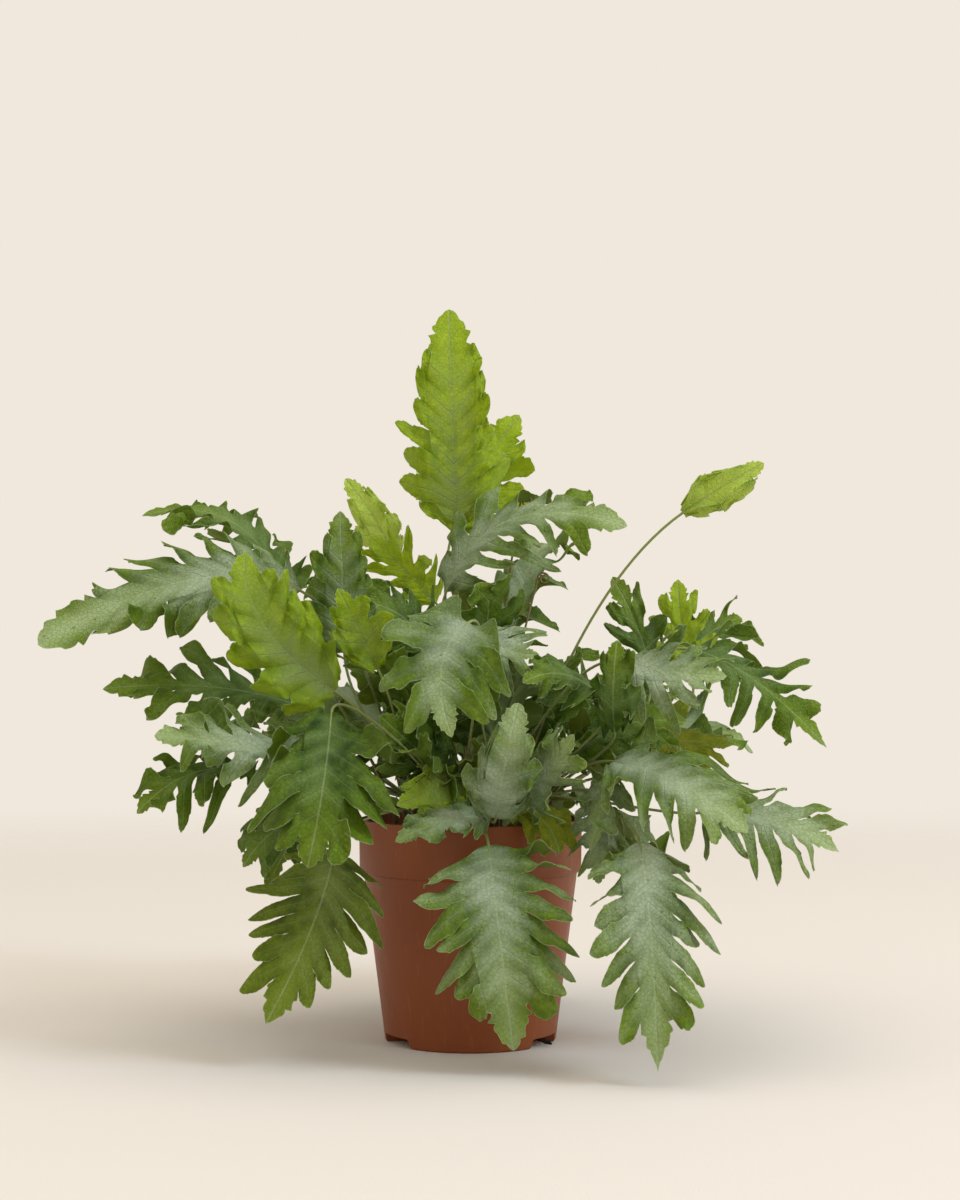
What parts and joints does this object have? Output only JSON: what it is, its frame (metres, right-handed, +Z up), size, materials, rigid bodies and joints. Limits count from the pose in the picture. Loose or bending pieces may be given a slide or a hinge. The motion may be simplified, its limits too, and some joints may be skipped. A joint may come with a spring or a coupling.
{
  "type": "potted blue star fern",
  "caption": "Blue star fern with lobed blue-green fronds on wiry stipes, arching out of a terracotta-brown nursery pot; stands by itself on a flat base.",
  "frame": {"origin": "centre of the flat underside of the pot, on the ground", "axes": "+Z up along the pot's axis, -Y towards the side that the picture shows, +X to the right in the picture"},
  "size_m": [0.4113, 0.321, 0.3972],
  "materials": {
    "pot_plastic": "satin moulded plastic, terracotta brown",
    "potting_soil": "rough, dark, crumbly",
    "rhizome_scales": "furry golden-brown scales",
    "young_stipe": "smooth, slightly waxy",
    "frond_blue_green": "matt with a whitish bloom",
    "frond_green": "matt, faintly waxy",
    "frond_olive": "matt, faintly waxy",
    "frond_lime": "thin, lets light through",
    "frond_yellow": "thin, lets light through"
  },
  "bodies": {
    "root": {"pot": "pot_plastic", "root_ball": "potting_soil", "rhizome": "rhizome_scales", "crozier_high": "young_stipe", "crozier_mid": "young_stipe", "crozier_back": "young_stipe", "frond_crown_lime": "frond_lime", "frond_crown_back": "frond_lime", "frond_back_pale": "frond_lime", "frond_back_left": "frond_lime", "frond_arch_right": "frond_blue_green", "frond_wing_left": "frond_blue_green", "frond_wing_back": "frond_green", "frond_lime_left": "frond_lime", "frond_spear_left": "frond_blue_green", "frond_lime_inner": "frond_lime", "frond_star_centre": "frond_blue_green", "frond_star_right": "frond_blue_green", "frond_fringe_right": "frond_green", "frond_upright_right": "frond_green", "frond_left_mid": "frond_green", "frond_left_blue": "frond_blue_green", "frond_left_low": "frond_green", "frond_front_left": "frond_green", "frond_droop_left": "frond_olive", "frond_left_scrap": "frond_green", "frond_front_droop": "frond_blue_green", "frond_rim_left": "frond_blue_green", "frond_droop_right": "frond_blue_green", "frond_right_front": "frond_blue_green", "frond_right_far_low": "frond_blue_green", "frond_right_fingers": "frond_blue_green", "frond_right_far": "frond_green", "frond_front_small": "frond_blue_green", "frond_front_fingers": "frond_blue_green", "frond_front_yellow": "frond_yellow", "frond_front_fringe": "frond_lime", "frond_right_up": "frond_green", "frond_right_up_lime": "frond_lime", "frond_right_back": "frond_green", "frond_sprig": "frond_lime", "frond_right_yellow": "frond_yellow", "frond_right_low": "frond_blue_green", "frond_right_broad": "frond_blue_green", "frond_centre_low": "frond_green", "frond_right_inner": "frond_green", "frond_top_inner": "frond_green", "frond_back_high_right": "frond_blue_green", "frond_back_high_left": "frond_green", "frond_back_mid_a": "frond_blue_green", "frond_back_mid_b": "frond_green", "frond_back_mid_c": "frond_blue_green", "frond_back_mid_d": "frond_blue_green", "frond_back_mid_e": "frond_green", "frond_back_low_a": "frond_blue_green", "frond_back_low_b": "frond_olive", "frond_back_low_c": "frond_blue_green", "frond_back_low_d": "frond_green", "frond_inner_right": "frond_green", "frond_inner_left": "frond_green"}
  },
  "joints": []
}
